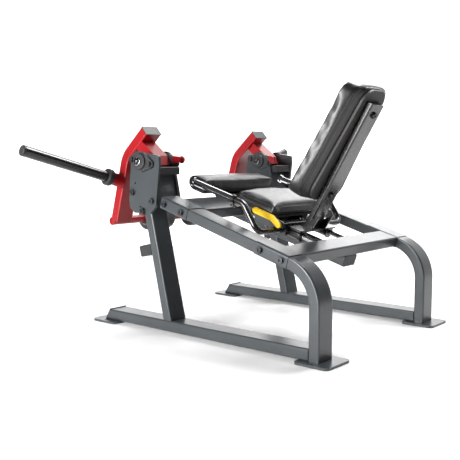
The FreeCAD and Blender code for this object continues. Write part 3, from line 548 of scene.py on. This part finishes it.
def upholster(pad, body, seams, piping, sewn):
    """Finishes a pad: seams drawn in, piping, stitches, material and bindings."""
    for path, depth, width in seams:
        pad.pinch(path, depth, width)
    pad.obj.data.materials.append(MATERIALS["upholstery"])
    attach(pad.obj, body)
    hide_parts(pad.node)
    cords = [[pad.on_surface(p)[0] for p in path[:-1]] for path in piping]
    tube_object("piping_" + pad.node, cords, PIPING_RADIUS, PIPING_SIDES, True,
                MATERIALS["upholstery"], body)
    tube_object("stitches_" + pad.node, stitches(pad, sewn), THREAD_RADIUS, THREAD_SIDES, False,
                THREAD, body)


# ---------------------------------------------------------------- pads
def shifted(path, move):
    return [p + move for p in path]


def make_seat():
    """Crowned cushion: piped top edge, seam near the board and a seam at each front corner."""
    pipe_drop = 0.008               # piping, below the top
    low_rise = 0.009                # lower seam, above the board
    corner_rise = 0.010             # foot of a corner seam, above the board
    corner_back, corner_in = 0.034, 0.010
    pad = Pad("seat_pad", UP_SLOPE, OFF_SLOPE)
    thick = pad.high[2] - pad.low[2]
    pad.swell(inset=0.005, pressure=3.5, cap=0.015)
    top = pad.ring(thick - pipe_drop)
    low = pad.ring(low_rise)
    corners = []
    for sign in (-1, 1):
        a = pad.high[0] - corner_back
        b = sign * (pad.high[1] - corner_in)
        run = [pad.world(a, b, pad.low[2] + h) for h in (corner_rise, thick - pipe_drop)]
        corners.append(pad.line(run, pad.world(0, -sign, 0)))
    seams = [(top, 0.0026, 0.0035), (low, 0.0018, 0.003)]
    seams += [(c, 0.0016, 0.003) for c in corners if len(c) > 2]
    sewn = [shifted(top, OFF_SLOPE * -0.004), shifted(low, OFF_SLOPE * 0.003)]
    upholster(pad, "carriage", seams, [top], sewn)


def make_back():
    """Backrest: a piped seam and a plain one close behind it, nearer the board than the face."""
    seam_share = 0.24               # of the pad's thickness, from the board to the piped seam
    seam_gap = 0.006
    pad = Pad("back_pad", UP_BACK, OFF_BACK)
    thick = pad.high[2] - pad.low[2]
    pad.swell(inset=0.004, pressure=3.0, cap=0.011)
    first = pad.ring(thick * seam_share)
    second = pad.ring(thick * seam_share - seam_gap)
    seams = [(first, 0.0020, 0.003), (second, 0.0016, 0.003)]
    upholster(pad, "carriage", seams, [first], [shifted(first, OFF_BACK * 0.004), second])


def end_rim(pad, b, steps=240):
    """The pad's outline at one place across it."""
    inner = pad.world(pad.middle(0), b, pad.middle(2))
    rim = []
    for i in range(steps + 1):
        t = math.tau * i / steps
        way = pad.world(math.cos(t), 0, math.sin(t))
        hit = pad.tree.ray_cast(inner + way, -way)
        if hit[0] is not None:
            rim.append(hit[0])
    return evenly(rim, SPACING)


def make_thigh_pad():
    """Thigh pad: a piped seam round each end."""
    end_in, stitch_in = 0.006, 0.004
    pad = Pad("thigh_pad", UP_SLOPE, OFF_SLOPE)
    pad.swell(inset=0.005, pressure=3.0, cap=0.009)
    half = pad.high[1] - pad.middle(1) - end_in
    ends = [end_rim(pad, pad.middle(1) + sign * half) for sign in (-1, 1)]
    seams = [(e, 0.0018, 0.003) for e in ends]
    sewn = [shifted(e, ACROSS * (-stitch_in if e[0].y > 0 else stitch_in)) for e in ends]
    upholster(pad, "frame", seams, ends, sewn)


# ---------------------------------------------------------------- foam rollers
def lathe(name, profile, centre, segments=96):
    """Turns a (radius, y) profile about the roller's axis."""
    bm = bmesh.new()
    rings = []
    for radius, y in profile:
        rings.append([bm.verts.new((centre.x + radius * math.cos(math.tau * k / segments), y,
                                    centre.z + radius * math.sin(math.tau * k / segments)))
                      for k in range(segments)])
    for a, b in zip(rings, rings[1:] + rings[:1]):
        for k in range(segments):
            bm.faces.new((a[k], a[(k + 1) % segments], b[(k + 1) % segments], b[k]))
    bmesh.ops.recalc_face_normals(bm, faces=bm.faces)
    mesh = bpy.data.meshes.new(name)
    bm.to_mesh(mesh)
    bm.free()
    return new_object(name, mesh)


BORE = 0.0245
FIRST_GROOVE, GROOVE_MARGIN, GROOVES = 0.038, 0.012, 5
GROOVE_SHAPE = ((0, 0), (0.0006, 0.0009), (0.0016, 0.0009), (0.0022, 0))   # (outward, deep)
RIM, RIM_STEPS = 0.010, 6
CROWN, CROWN_STEP, CROWN_STEPS = 0.0011, 0.0165, 4


def roller_end(radius, y, way):
    """Half of a roller's profile, from the bore over the grooved end face towards the middle."""
    half = [(BORE, y)]
    for i in range(GROOVES):
        r = FIRST_GROOVE + i * (radius - GROOVE_MARGIN - FIRST_GROOVE) / GROOVES
        half += [(r + outward, y + way * deep) for outward, deep in GROOVE_SHAPE]
    for i in range(RIM_STEPS + 1):
        a = math.pi / 2 * i / RIM_STEPS
        half.append((radius - RIM + RIM * math.sin(a), y + way * (RIM - RIM * math.cos(a))))
    for i in range(1, CROWN_STEPS):
        half.append((radius + CROWN * math.sin(math.pi / 2 * i / CROWN_STEPS),
                     y + way * (RIM + CROWN_STEP * i)))
    return half


def make_roller(side):
    node = "roller_foam_" + side
    low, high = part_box(node)
    centre = (low + high) / 2
    radius = (high.x - low.x) / 2
    profile = roller_end(radius, low.y, 1) + roller_end(radius, high.y, -1)[::-1]
    foam = lathe("foam_" + side, profile, centre)
    smooth(foam)
    foam.data.materials.append(MATERIALS["foam"])
    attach(foam, "roller_" + side)
    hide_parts(node)


# ---------------------------------------------------------------- studio
SKY_WAY = (-0.42, -0.40, 0.81)
SKY_WEAK, SKY_STRONG = 0.05, 1.15
SKY_FROM, SKY_TO = -0.3, 0.85   # how far towards SKY_WAY the weak and the strong light are reached
LIGHT_AIM = Vector((0, 0, 0.4))
LIGHTS = (("key", (0.5, 1.7, 4.0), 1.6, 190), ("left", (-0.8, -6.0, 1.7), 2.6, 700),
          ("back", (-1.5, 3.5, 2.5), 2.5, 40))


FLOOR_NEAR, FLOOR_FAR = -14, 3.0        # from the middle of the machine, away from the camera
BEND, BEND_STEPS = 3.0, 12              # radius of the turn from the floor up to the wall
WALL_TOP = 9.0
HALF_WIDTH = 16
STAGE_DROP = 0.0005
FLOOR_GLOW, WALL_GLOW = 0.06, 0.85


def make_sky():
    """Soft light: strong from above, ahead and the user's left, and weak from behind the user."""
    world = bpy.data.worlds.new("studio")
    world.use_nodes = True
    tree = world.node_tree
    way = tree.nodes.new("ShaderNodeTexCoord").outputs["Generated"]
    dot = tree.nodes.new("ShaderNodeVectorMath")
    dot.operation = "DOT_PRODUCT"
    tree.links.new(way, dot.inputs[0])
    dot.inputs[1].default_value = SKY_WAY
    span = tree.nodes.new("ShaderNodeMapRange")
    span.interpolation_type = "SMOOTHSTEP"
    span.inputs["From Min"].default_value = SKY_FROM
    span.inputs["From Max"].default_value = SKY_TO
    span.inputs["To Min"].default_value = SKY_WEAK
    span.inputs["To Max"].default_value = SKY_STRONG
    tree.links.new(dot.outputs["Value"], span.inputs["Value"])
    tree.links.new(span.outputs["Result"], tree.nodes["Background"].inputs["Strength"])
    bpy.context.scene.world = world


def backdrop(name, steps, glow):
    """A plain sweep that runs away from the camera, as (distance, height) steps."""
    n = Nodes(name)
    n.link(n.ramp(n.noise(3, 3), (0.90, 0.90, 0.90), (0.92, 0.92, 0.92)),
           n.shader.inputs["Base Color"])
    n.set(Roughness=0.5, Emission_Color=(1, 1, 1, 1), Emission_Strength=glow)
    away = Vector((CAMERA_LOOK.x, CAMERA_LOOK.y, 0)).normalized()
    side = Vector((-away.y, away.x, 0))
    bm = bmesh.new()
    rows = [[bm.verts.new(away * d + side * w + Vector((0, 0, h - STAGE_DROP)))
             for w in (-HALF_WIDTH, HALF_WIDTH)]
            for d, h in steps]
    for a, b in zip(rows, rows[1:]):
        bm.faces.new((a[0], a[1], b[1], b[0]))
    mesh = bpy.data.meshes.new(name)
    bm.to_mesh(mesh)
    bm.free()
    mesh.materials.append(n.mat)
    sweep = new_object(name, mesh)
    smooth(sweep)


def make_studio():
    backdrop("studio_floor", [(FLOOR_NEAR, 0), (FLOOR_FAR, 0)], FLOOR_GLOW)
    curve = [(FLOOR_FAR + BEND * math.sin(math.pi / 2 * i / BEND_STEPS),
              BEND - BEND * math.cos(math.pi / 2 * i / BEND_STEPS)) for i in range(BEND_STEPS + 1)]
    backdrop("studio_wall", curve + [(FLOOR_FAR + BEND, WALL_TOP)], WALL_GLOW)
    make_sky()
    for name, at, size, power in LIGHTS:
        data = bpy.data.lights.new(name, "AREA")
        data.size = size
        data.energy = power
        lamp = bpy.data.objects.new(name, data)
        lamp.location = at
        lamp.rotation_mode = "QUATERNION"
        lamp.rotation_quaternion = (LIGHT_AIM - Vector(at)).to_track_quat("-Z", "Y")
        bpy.context.scene.collection.objects.link(lamp)


make_camera()
bpy.context.scene.view_settings.view_transform = "Standard"
dress_cad_nodes()
make_seat()
make_back()
make_thigh_pad()
for which in ("left", "right"):
    make_roller(which)
make_studio()
